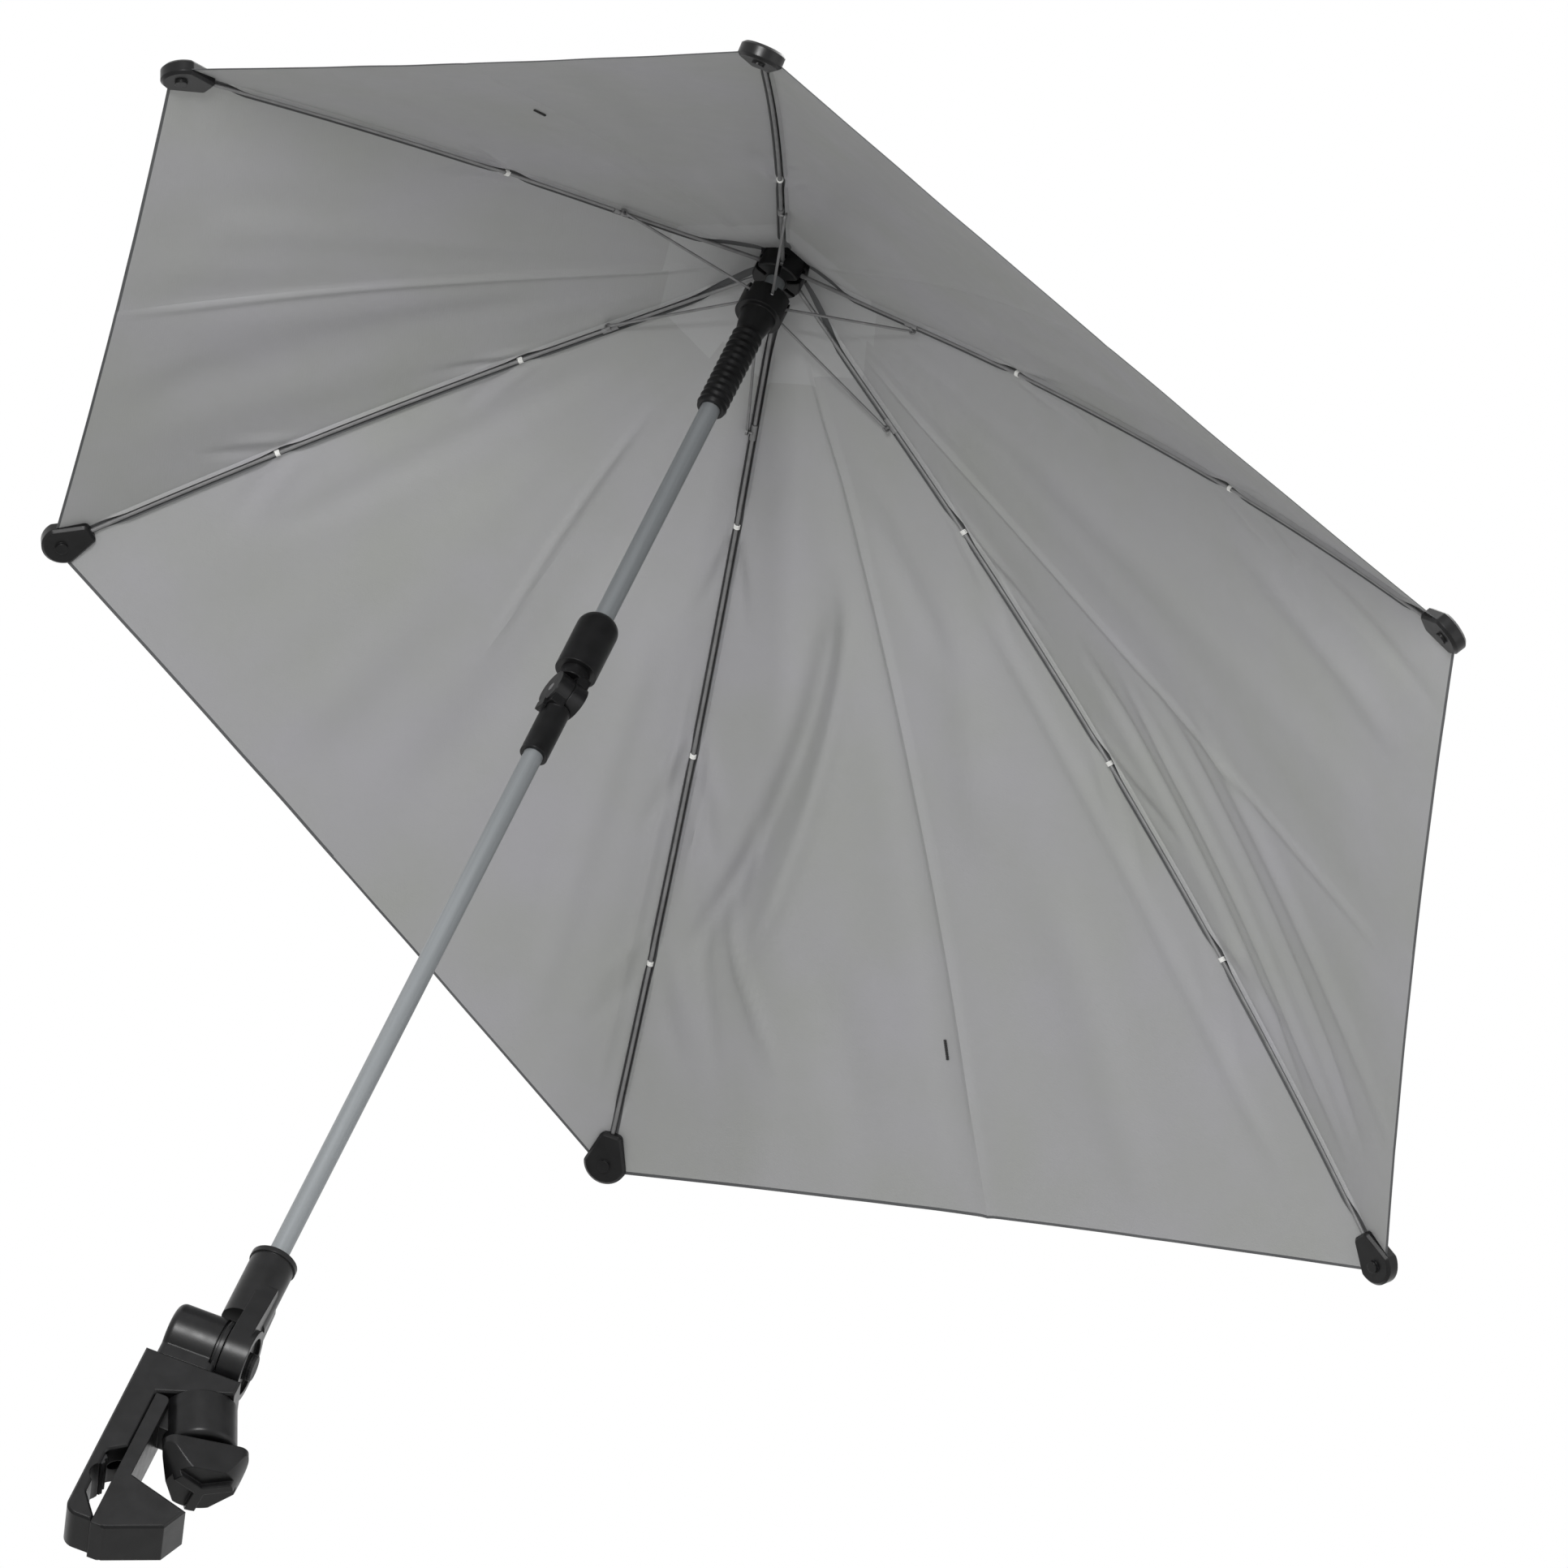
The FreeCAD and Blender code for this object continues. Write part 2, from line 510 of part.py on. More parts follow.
def crown():
    """Ring on top of the pole with a slot and a pin hole for each rib."""
    body = Part.makeCylinder(size("crown_radius"), size("crown_above") + size("crown_below"),
                             Vector(0, 0, -size("crown_below")))
    body = round_edges(body, size("cap_edge"), lambda e: e.Curve.TypeId == "Part::GeomCircle")
    width = size("eye_thickness") + size("slot_gap") * 2
    start = size("hinge_radius") - size("eye_radius") - size("slot_gap")
    slot_top = size("eye_radius") + size("slot_gap")

    def slot():
        return Part.makeBox(size("crown_radius"), width, size("crown_below") + slot_top + size("overrun"),
                            Vector(start, -width / 2, -size("crown_below") - size("overrun")))

    def hole():
        return cross_pin(size("rib_pin_diameter") / 2 + size("fit_gap"), size("pin_length"), size("hinge_radius"), 0, 0)

    bore = Part.makeCylinder(size("tube_diameter") / 2 + size("fit_gap"), size("crown_below") + size("tube_top"),
                             Vector(0, 0, -size("crown_below")))
    return feature("crown", body.cut(ring_of(slot) + ring_of(hole) + [bore]), pole_frame)


def rib_pins():
    """The ribs' hinge pins in the crown."""
    def pin():
        return cross_pin(size("rib_pin_diameter") / 2, size("pin_length"), size("hinge_radius"), 0, 0)

    return feature("rib_pins", Part.makeCompound(ring_of(pin)), pole_frame)


def top_cap():
    """Domed cap over the cloth's centre, seated on the crown."""
    low = size("crown_above")
    radius, edge, rise = size("cap_radius"), size("cap_edge"), size("cap_rise")
    arch = rise - edge
    ball_radius = (radius ** 2 + arch ** 2) / (2 * arch)
    ball = Part.makeSphere(ball_radius, Vector(0, 0, low + rise - ball_radius))
    disc = Part.makeCylinder(radius, rise, Vector(0, 0, low))
    return feature("top_cap", disc.common(ball), pole_frame)


def runner_body():
    """Runner: slotted flange for the stretchers, collar, and a grip with raised rings."""
    flange_top = -size("runner_drop") + size("flange_above")
    flange_low = -size("runner_drop") - size("flange_below")
    collar_low = flange_low - size("collar_length")
    low = -size("runner_bottom")
    flange = Part.makeCylinder(size("flange_radius"), flange_top - flange_low, Vector(0, 0, flange_low))
    collar = Part.makeCone(size("grip_radius"), size("collar_radius"), size("collar_length"), Vector(0, 0, collar_low))
    grip = Part.makeCylinder(size("grip_radius"), collar_low - low, Vector(0, 0, low))
    rings = []
    for index in range(int((collar_low - low) / size("grip_pitch"))):
        half = size("grip_pitch") / 2
        crest = size("grip_radius") + size("grip_ring")
        foot = low + size("grip_pitch") * index
        rings.append(Part.makeCone(size("grip_radius"), crest, half, Vector(0, 0, foot)))
        rings.append(Part.makeCone(crest, size("grip_radius"), half, Vector(0, 0, foot + half)))
    width = size("stretcher_diameter") + size("slot_gap") * 2
    start = size("runner_pivot_radius") - size("stretcher_eye") - size("slot_gap")
    depth = size("flange_above") + size("stretcher_eye") + size("slot_gap")

    def slot():
        return Part.makeBox(size("flange_radius"), width, depth + size("overrun"),
                            Vector(start, size("stretcher_offset") - width / 2, flange_top - depth))

    def hole():
        return cross_pin(size("stretcher_pin_diameter") / 2 + size("fit_gap"), pin_span(),
                         size("runner_pivot_radius"), -size("runner_drop"), size("stretcher_offset"))

    bore = Part.makeCylinder(size("tube_diameter") / 2 + size("run_gap"), size("runner_bottom"), Vector(0, 0, low))
    solid = flange.fuse([collar, grip] + rings)
    return feature("runner_body", solid.cut(ring_of(slot) + ring_of(hole) + [bore]).removeSplitter(), pole_frame)


def pin_span():
    """Length of a stretcher's pin, which bridges its slot."""
    return size("stretcher_diameter") + size("slot_gap") * 2 + size("stretcher_pin_diameter") * 2


def stretcher_pins():
    """The stretchers' hinge pins in the runner."""
    def pin():
        return cross_pin(size("stretcher_pin_diameter") / 2, pin_span(), size("runner_pivot_radius"),
                         -size("runner_drop"), size("stretcher_offset"))

    return feature("stretcher_pins", Part.makeCompound(ring_of(pin)), pole_frame)


class RibLine:
    """Centre line of a rib in its own plane: straight to past the bracket, then a bow to the tip."""

    def __init__(self, kind):
        slope = math.radians(size("rib_slope"))
        self.along = Vector(math.cos(slope), 0, -math.sin(slope))
        self.down = Vector(-math.sin(slope), 0, -math.cos(slope))
        self.hinge = Vector(size("hinge_radius"), 0, 0)
        self.bend = self.hinge + self.along * size("straight_length")
        chord = Vector(size(kind + "_reach"), 0, -size(kind + "_drop")) - self.bend
        half = math.atan2(chord.dot(self.down), chord.dot(self.along))
        self.radius = chord.Length / 2 / math.sin(half)
        self.sweep = 2 * half

    def pivot(self):
        """Centre of the bracket's rivet, just below the rib."""
        return self.hinge + self.along * size("bracket_place") + self.down * size("bracket_drop")

    def bow(self, angle):
        """Point of the bow at an angle from where it starts."""
        return self.bend + self.along * (self.radius * math.sin(angle)) + self.down * (
            self.radius * (1 - math.cos(angle)))

    def heading(self, angle):
        """Direction of the bow at an angle."""
        return self.along * math.cos(angle) + self.down * math.sin(angle)

    def before_tip(self, distance):
        """Angle of the point that lies a distance short of the tip."""
        return self.sweep - distance / self.radius

    def point(self, share, end):
        """Point at a share of the way from the crown's edge to an end angle."""
        first = (size("cloth_start") - size("hinge_radius")) / self.along.x
        straight = size("straight_length") - first
        travelled = share * (straight + self.radius * end)
        if travelled < straight:
            return self.hinge + self.along * (first + travelled)
        return self.bow((travelled - straight) / self.radius)


def rib(number, kind, turn):
    """Steel rib rod with the flat eye that hinges in the crown."""
    line = RibLine(kind)
    end = line.before_tip(size("tip_length") - size("tip_bore"))
    root_length = (size("crown_radius") - size("hinge_radius")) / line.along.x
    start = line.hinge + line.along * root_length
    bow = Part.Arc(line.bow(0), line.bow(end / 2), line.bow(end)).toShape()
    path = Part.Wire([Part.makeLine(start, line.bend), bow])
    section = Part.Wire(Part.makeCircle(size("rib_diameter") / 2, start, line.along))
    rod = path.makePipeShell([section], True, False)
    eye = cross_pin(size("eye_radius"), size("eye_thickness"), size("hinge_radius"), 0, 0)
    root = Part.makeBox(root_length + size("overrun"), size("root_width"), size("root_height"),
                        Vector(0, -size("root_width") / 2, -size("root_height") / 2))
    root.Placement = Placement(line.hinge, Rotation(Y_AXIS, size("rib_slope")))
    hole = cross_pin(size("rib_pin_diameter") / 2 + size("pin_fit"), size("pin_length"), size("hinge_radius"), 0, 0)
    solid = rod.fuse([eye, root]).cut(hole).removeSplitter()
    return feature(f"rib_{number}", solid, around(turn))


def rib_bracket(number, kind, turn):
    """Sleeve on the rib with a side rivet for the stretcher."""
    line = RibLine(kind)
    centre = line.hinge + line.along * size("bracket_place")
    half = line.along * (size("bracket_length") / 2)
    sleeve = Part.makeCylinder(size("bracket_radius"), size("bracket_length"), centre - half, line.along)
    reach = size("stretcher_offset") - size("stretcher_diameter") / 2 - size("rivet_gap")
    rivet = Part.makeCylinder(size("bracket_rivet") / 2, reach, line.pivot(), Y_AXIS)
    bore = Part.makeCylinder(size("rib_diameter") / 2 + size("fit_gap"), size("bracket_length"), centre - half,
                             line.along)
    return feature(f"rib_bracket_{number}", sleeve.fuse(rivet).cut(bore).removeSplitter(), around(turn))


def tip_frame(kind):
    """Frame at a tip cap's mouth: Z along the rib, Y across it, X to the inner side of the cloth."""
    line = RibLine(kind)
    mouth = line.before_tip(size("tip_length"))
    forward = line.heading(mouth)
    return Placement(line.bow(mouth), Rotation(Vector(forward.z, 0, -forward.x), Y_AXIS, forward, "ZYX"))


def tip_plate(grown):
    """Corner plate that widens from its mouth to a round end, larger all round by a clearance."""
    mouth, wide = size("tip_mouth") / 2 + grown, size("tip_width") / 2 + grown
    shoulder, end = size("tip_length") - size("tip_shoulder"), size("tip_length") + grown
    above = -size("tip_above") - grown
    left, right = Vector(above, -wide, shoulder), Vector(above, wide, shoulder)
    sides = [Part.makeLine(left, Vector(above, -mouth, -grown)),
             Part.makeLine(Vector(above, -mouth, -grown), Vector(above, mouth, -grown)),
             Part.makeLine(Vector(above, mouth, -grown), right),
             Part.Arc(right, Vector(above, 0, end), left).toShape()]
    plate = Part.Face(Part.Wire(sides)).extrude(Vector(size("tip_above") + size("tip_below") + grown * 2, 0, 0))
    return round_edges(plate, size("tip_round"), lambda e: runs_along(e, X_AXIS))


def tip_cap(number, kind, turn):
    """Moulded corner cap: mouth for the rib, plate over the cloth's corner, small boss on the inner side."""
    plate = tip_plate(0)
    faces = (-size("tip_above"), size("tip_below"))
    rims = [e for e in plate.Edges if min(abs(e.CenterOfMass.x - x) for x in faces) < size("fit_gap")]
    plate = plate.makeChamfer(size("tip_edge"), rims)
    boss_at = Vector(0, 0, size("tip_length") - size("tip_shoulder"))
    boss = Part.makeCylinder(size("tip_boss") / 2, size("tip_below") + size("tip_boss_height"), boss_at, X_AXIS)
    bore = Part.makeCylinder(size("rib_diameter") / 2 + size("tip_fit"), size("tip_bore") + size("tip_fit"))
    solid = plate.fuse(boss).cut(bore).removeSplitter()
    return feature(f"tip_cap_{number}", solid, around(turn) * tip_frame(kind))


def stretcher(number, kind, turn):
    """Wire stretcher with an eye at each end, beside its rib."""
    line = RibLine(kind)
    inner = Vector(size("runner_pivot_radius"), size("stretcher_offset"), -size("runner_drop"))
    outer = line.pivot() + Vector(0, size("stretcher_offset"), 0)
    span = outer - inner
    wire = Part.makeCylinder(size("stretcher_diameter") / 2, span.Length, inner, span)
    eyes, holes = [], []
    for at, hole_size in ((inner, size("stretcher_pin_diameter")), (outer, size("bracket_rivet"))):
        eyes.append(cross_pin(size("stretcher_eye"), size("flat_eye"), at.x, at.z, at.y))
        holes.append(cross_pin(hole_size / 2 + size("pin_fit"), size("stretcher_diameter") * 2, at.x, at.z, at.y))
    return feature(f"stretcher_{number}", wire.fuse(eyes).cut(holes).removeSplitter(), around(turn))


def cloth_edge(number):
    """Points of the cloth along a rib, a hair above it, about the crown's centre."""
    kind, turn = RIBS[number]
    line = RibLine(kind)
    end = line.before_tip(size("rim_inset"))
    lift = Vector(0, 0, size("rib_diameter") / 2 / line.along.x + size("bracket_radius") / 2 + size("cloth_gap"))
    turned = Rotation(Z_AXIS, turn)
    return [turned.multVec(line.point(share, end) + lift) for share in STATION_SHARES]


def crease(number, neighbour):
    """Points midway to the next rib, drawn in at the rim, kept a hair on this rib's side."""
    own, other = cloth_edge(number), cloth_edge(neighbour)
    points = []
    for share, here, there in zip(STATION_SHARES, own, other):
        middle = (here + there) * 0.5
        inward = 1 - SCALLOP_SHARE * share
        aside = here - there
        aside.normalize()
        points.append(Vector(middle.x * inward, middle.y * inward, middle.z) + aside * size("cloth_seam"))
    return points


def canopy_panel(number, kind, turn):
    """The cloth on both sides of one rib, out to the creases midway to its neighbours."""
    rib_curve = Part.BSplineCurve()
    rib_curve.interpolate(cloth_edge(number))
    halves = []
    for step in (-1, 1):
        neighbour = (number - 1 + step) % RIB_COUNT + 1
        fold = Part.BSplineCurve()
        fold.interpolate(crease(number, neighbour))
        face = Part.makeRuledSurface(rib_curve.toShape(), fold.toShape())
        halves.append(face.extrude(Vector(0, 0, size("cloth_thickness"))))
    notch = tip_plate(size("cloth_gap"))
    notch.Placement = Placement(Vector(), Rotation(Z_AXIS, turn)) * tip_frame(kind)
    return feature(f"canopy_panel_{number}", halves[0].fuse(halves[1]).cut(notch), pole_frame)


def build():
    """Make every sub-part."""
    clamp_body()
    spine_pad()
    tilt_knuckle()
    knuckle_screws()
    tilt_pin()
    clamp_jaw()
    clamp_knob()
    clamp_spindle()
    tube_socket()
    tilt_button()
    lower_end = f"{ELBOW} - lap_radius - knuckle_clear - fitting_length + tube_seat"
    tube("lower_tube", "socket_floor", lower_end)
    elbow_half("elbow_lower_fitting", -1, -1)
    elbow_half("elbow_upper_fitting", 1, 1)
    pin = cylinder("elbow_pin_straight", "elbow_pin_diameter", "lap_thickness * 2 + lap_gap * 2",
                   ("pole_x - lap_thickness - lap_gap", 0, ELBOW), "x")
    node(turned_with_mast("elbow_pin", pin), "elbow_pin")
    elbow_sleeve()
    upper_end = f"{ELBOW} + lap_radius + knuckle_clear + fitting_length - tube_seat"
    tube("upper_tube", upper_end, "crown_height + tube_top")
    crown()
    rib_pins()
    top_cap()
    runner_body()
    stretcher_pins()
    for number, (kind, turn) in RIBS.items():
        rib(number, kind, turn)
        rib_bracket(number, kind, turn)
        tip_cap(number, kind, turn)
        stretcher(number, kind, turn)
        canopy_panel(number, kind, turn)


def check():
    """Stop on any failed object or bad shape."""
    doc.recompute()
    for obj in doc.Objects:
        if "Invalid" in obj.State or "Error" in obj.State:
            raise RuntimeError(f"{obj.Label} failed: {obj.State}")
    for obj in nodes:
        if obj.Shape.isNull() or not obj.Shape.isValid():
            raise RuntimeError(f"{obj.Label} has no valid shape")


build()
check()
os.makedirs("parts", exist_ok=True)
for obj in nodes:
    obj.Shape.exportStep(f"parts/{obj.Label}.step")
print(len(nodes), "sub-parts written")
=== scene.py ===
import json
import math

import bmesh
import bpy
from mathutils import Matrix, Vector


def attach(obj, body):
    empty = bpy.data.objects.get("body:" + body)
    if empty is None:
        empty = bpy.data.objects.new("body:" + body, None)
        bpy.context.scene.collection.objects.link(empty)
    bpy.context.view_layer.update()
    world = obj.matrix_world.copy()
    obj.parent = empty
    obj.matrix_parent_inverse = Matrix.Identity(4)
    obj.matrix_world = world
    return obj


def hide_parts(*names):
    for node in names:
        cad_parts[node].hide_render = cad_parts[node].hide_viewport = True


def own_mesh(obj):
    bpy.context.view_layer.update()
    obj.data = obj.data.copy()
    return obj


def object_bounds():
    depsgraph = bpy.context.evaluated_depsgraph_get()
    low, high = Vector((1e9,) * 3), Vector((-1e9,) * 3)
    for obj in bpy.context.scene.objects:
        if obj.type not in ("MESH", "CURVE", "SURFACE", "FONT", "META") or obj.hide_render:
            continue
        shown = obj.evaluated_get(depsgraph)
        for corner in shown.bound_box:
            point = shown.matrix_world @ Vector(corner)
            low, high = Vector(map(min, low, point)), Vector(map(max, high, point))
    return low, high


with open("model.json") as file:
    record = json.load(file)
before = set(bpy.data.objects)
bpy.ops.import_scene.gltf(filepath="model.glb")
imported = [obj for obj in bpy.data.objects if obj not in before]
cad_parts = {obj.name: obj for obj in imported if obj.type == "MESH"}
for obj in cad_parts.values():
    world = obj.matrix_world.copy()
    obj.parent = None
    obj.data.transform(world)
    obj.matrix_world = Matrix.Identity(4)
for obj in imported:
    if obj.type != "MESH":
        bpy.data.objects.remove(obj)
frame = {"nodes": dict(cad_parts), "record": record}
cad_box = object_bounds()
scene = bpy.context.scene

# Lengths are in metres, unless a name says otherwise

# The mast is turned in the clamp's socket by this many degrees
MAST_TURN = 30

# Photographed view: the camera looks up into the canopy from beside the clamp
VIEW_AZIMUTH = math.radians(70.94 + MAST_TURN)
VIEW_ELEVATION = math.radians(36.02)
VIEW_ROLL = math.radians(26.63)
VIEW_AIM = Vector((0.1582, 0.2132, 0.8993))
VIEW_DISTANCE = 15.0885
VIEW_END = 3 * VIEW_DISTANCE
SENSOR_MM, LENS_MM = 36.0, 499.1

# The clamp sits on a pram's handle: the floor lies low enough for the tilted canopy to clear it
FLOOR_RADIUS, FLOOR_DROP = 2.7, 0.62
FLOOR_SIDES = 96
FLOOR_SHADES = (0.79, 0.79, 0.78), (0.81, 0.81, 0.80)
WHITE = (1, 1, 1, 1)
AMBIENT = 0.46
# Lamps: name, offset from the aim, size, power in watts
LAMPS = (
    ("key", (-0.5, -3.0, -0.72), 0.75, 66),
    ("fill", (2.6, -1.4, -0.4), 2.0, 12),
    ("top", (0.6, 0.4, 2.6), 2.2, 60),
)

# Ribs, as they are built: hinge from the pole's axis, slope at the hinge, straight length before the bow
HINGE_RADIUS = 0.012
RIB_SLOPE = math.radians(22)
STRAIGHT_LENGTH = 0.132
# Each rib's tip: reach from the pole's axis, drop below the crown, turn about the pole in degrees
RIBS = {
    1: (0.461, 0.197, 180),
    2: (0.522, 0.235, -117),
    3: (0.652, 0.317, -55.6),
    4: (0.730, 0.368, 0),
    5: (0.652, 0.317, 55.6),
    6: (0.522, 0.235, 117),
}
RIB_COUNT = len(RIBS)

# Cloth: where it starts from the pole's axis, and where it ends before a rib's tip
CLOTH_START, RIM_INSET = 0.0205, 0.005
# Its height above the rib's centre line, and what is added round the crown
CLOTH_LIFT = 0.0030
CROWN_LIFT, CROWN_LIFT_REACH = 0.0075, 0.030
CLOTH_THICKNESS = 0.0005
HEM_WIDTH = 0.0024
# The paler patch round the crown, as a length along the rib
PATCH_REACH = 0.07
# Share by which the rim is drawn in half-way between two ribs
SCALLOP = 0.008
# Angle above which the cloth's edges are shaded sharp
SHARP_ANGLE = math.radians(50)
# Sheets meet in creases half-way between two ribs, as a share of the panel's width
CREASE = 0.5
# Mesh of a sheet: steps from the crown to the rim, and from the seam to the crease on each side
ROWS, COLUMNS = 96, 64

# Height of the cloth's faint unevenness
WRINKLE = 0.0009
# Its waves: strength, radians per radian round the pole, radians per metre outwards
WRINKLE_WAVES = ((1.0, 26, 9), (0.6, 41, -17), (0.5, 0, 31))
# The stretched rim takes this share off folds and unevenness, from this share of the way outwards
RIM_CALM, RIM_START = 0.8, 0.86

# Mesh stations beside a rib, the most that they take of a panel's width, and how many the dark seam band
# covers: its dark is partly the seam's own colour and partly painted shade of the channel between the pleats
SEAM_STEPS = (0.0, 0.0012, 0.0022, 0.0030, 0.0037, 0.0044, 0.0054, 0.0075, 0.011)
SEAM_SHARE = 0.35
SEAM_SHADE_BAND = 4
# The seam's edge, which stands on both sides of a rib, and where it starts and ends along the rib
SEAM_PLACE, SEAM_HALF_WIDTH, SEAM_HEIGHT = 0.0036, 0.0009, 0.0036
SEAM_CALM, SEAM_TIP, SEAM_FADE = 0.035, 0.042, 0.025
# Each tack takes this share off the seam's edge, over this length
PINCH, PINCH_LENGTH = 0.85, 0.011

# Thread tacks that tie the cloth to each rib, as distances along the rib
TACK_PLACES = {
    1: (0.212,),
    2: (0.194,),
    3: (0.226, 0.453),
    4: (0.208, 0.398, 0.555),
    5: (0.195, 0.379, 0.543),
    6: (0.188, 0.377),
}
TACK_LENGTH, TACK_RADIUS, TACK_THREAD = 0.0034, 0.0020, 0.00042
TACK_TURNS, TACK_TURN_STEPS, TACK_ROUNDNESS = 4, 12, 2
# Puckers that run out from each tack: shares of the panel, then half width and height
PUCKER_LENGTH, PUCKER_SPREAD, PUCKER_GAP = 0.15, 0.10, 0.05
PUCKER_HALF_WIDTH, PUCKER_HEIGHT = 0.0050, 0.0050

# Black bar tacks of the cloth's tie: panel's first rib, share of the way to the rim, side
BAR_TACKS = ((1, 0.71, 0.46), (4, 0.83, 0.53))
BAR_LENGTH, BAR_WIDTH, BAR_RISE = 0.013, 0.0026, 0.0007
# Stitches in a bar tack, and half of a stitch's length as a share of their spacing
BAR_STITCHES, STITCH_SHARE = 9, 0.6
STITCH_SEGMENTS, STITCH_RINGS = 10, 6
# Step, as a share, over which the lie of the cloth at a bar tack is taken
LIE_STEP = 0.02

# Folds of each panel, by its first rib: side at the start and at the end, start and end as shares of the
# way to the rim, half width, height. A side is 0 on the first rib and 1 on the next; a fold with a positive
# height hangs below the cloth.
FOLDS = {
    1: ((0.50, 0.50, 0.05, 1.10, 0.0036, 0.0014), (0.70, 0.66, 0.30, 0.95, 0.0220, -0.0024)),
    2: ((0.50, 0.50, 0.05, 1.10, 0.0040, 0.0016), (0.30, 0.34, 0.30, 0.95, 0.0240, -0.0026),
        (0.76, 0.70, 0.40, 0.98, 0.0200, 0.0030)),
    3: ((0.80, 0.99, 0.42, 0.86, 0.0080, -0.0080), (0.72, 0.96, 0.48, 0.94, 0.0075, 0.0065),
        (0.64, 0.91, 0.52, 0.98, 0.0100, -0.0060), (0.58, 0.84, 0.58, 1.05, 0.0110, 0.0050),
        (0.74, 0.55, 0.08, 0.98, 0.0034, 0.0026), (0.10, 0.25, 0.60, 0.98, 0.0160, 0.0035),
        (0.05, 0.14, 0.72, 1.05, 0.0090, -0.0040), (0.35, 0.38, 0.30, 0.95, 0.0260, 0.0035)),
    4: ((0.50, 0.50, 0.05, 1.10, 0.0035, 0.0042), (0.53, 0.53, 0.10, 1.00, 0.0140, -0.0040),
        (0.594, 0.97, 0.30, 0.80, 0.0135, -0.0140), (0.57, 0.87, 0.30, 0.80, 0.0110, 0.0085),
        (0.835, 0.86, 0.57, 0.71, 0.0032, 0.0055), (0.91, 0.77, 0.66, 0.90, 0.0060, 0.0070),
        (0.95, 0.86, 0.66, 0.92, 0.0060, -0.0040), (0.955, 0.975, 0.50, 0.73, 0.0045, 0.0045),
        (0.78, 0.97, 0.17, 0.30, 0.0080, -0.0045), (0.20, 0.42, 0.28, 0.64, 0.0180, 0.0065),
        (0.43, 0.30, 0.18, 0.44, 0.0140, -0.0045), (0.12, 0.08, 0.30, 0.95, 0.0080, 0.0030),
        (0.26, 0.30, 0.60, 1.05, 0.0200, 0.0045), (0.72, 0.64, 0.70, 1.05, 0.0220, -0.0045)),
    5: ((0.57, 0.49, 0.22, 0.68, 0.0036, 0.0028), (0.40, 0.46, 0.30, 0.90, 0.0260, -0.0040),
        (0.05, 0.04, 0.42, 0.98, 0.0050, 0.0032), (0.20, 0.16, 0.40, 1.00, 0.0150, 0.0040),
        (0.68, 0.62, 0.35, 0.98, 0.0220, 0.0035), (0.84, 0.88, 0.20, 0.80, 0.0120, -0.0025)),
    6: ((0.49, 0.49, 0.05, 1.10, 0.0036, 0.0026), (0.28, 0.32, 0.30, 0.95, 0.0240, -0.0030),
        (0.72, 0.66, 0.35, 0.95, 0.0220, 0.0026)),
}
# Share of the way over which a fold rises and ends
FOLD_FADE = 0.12

# Values of a texture between which a material's colour changes
VARY_START, VARY_END = 0.3, 0.7
# Features of the weave along a thread, as a share of those across it
THREAD_STRETCH = 0.06
# Black plastic: blue against red and green, where dark and where rubbed, and how much paler it is rubbed
DARK_BLUE, RUBBED_BLUE, RUBBED_SHADE = 1.05, 1.06, 2.4
PLASTIC_SPECULAR = 0.24
# Radius with which the edges of moulded pieces are shaded
MOULD_EDGE = 0.0012

# Centre of the crown, on the pole's axis at the height of the rib hinges
JOINTS = {joint["name"]: joint for joint in frame["record"]["behaviour"]["joints"]}
POLE_X = JOINTS["elbow_bend"]["pos_m"][0]
HINGE_Z = JOINTS["rib_4_fold"]["pos_m"][2]
CROWN = Vector((POLE_X, 0, HINGE_Z))


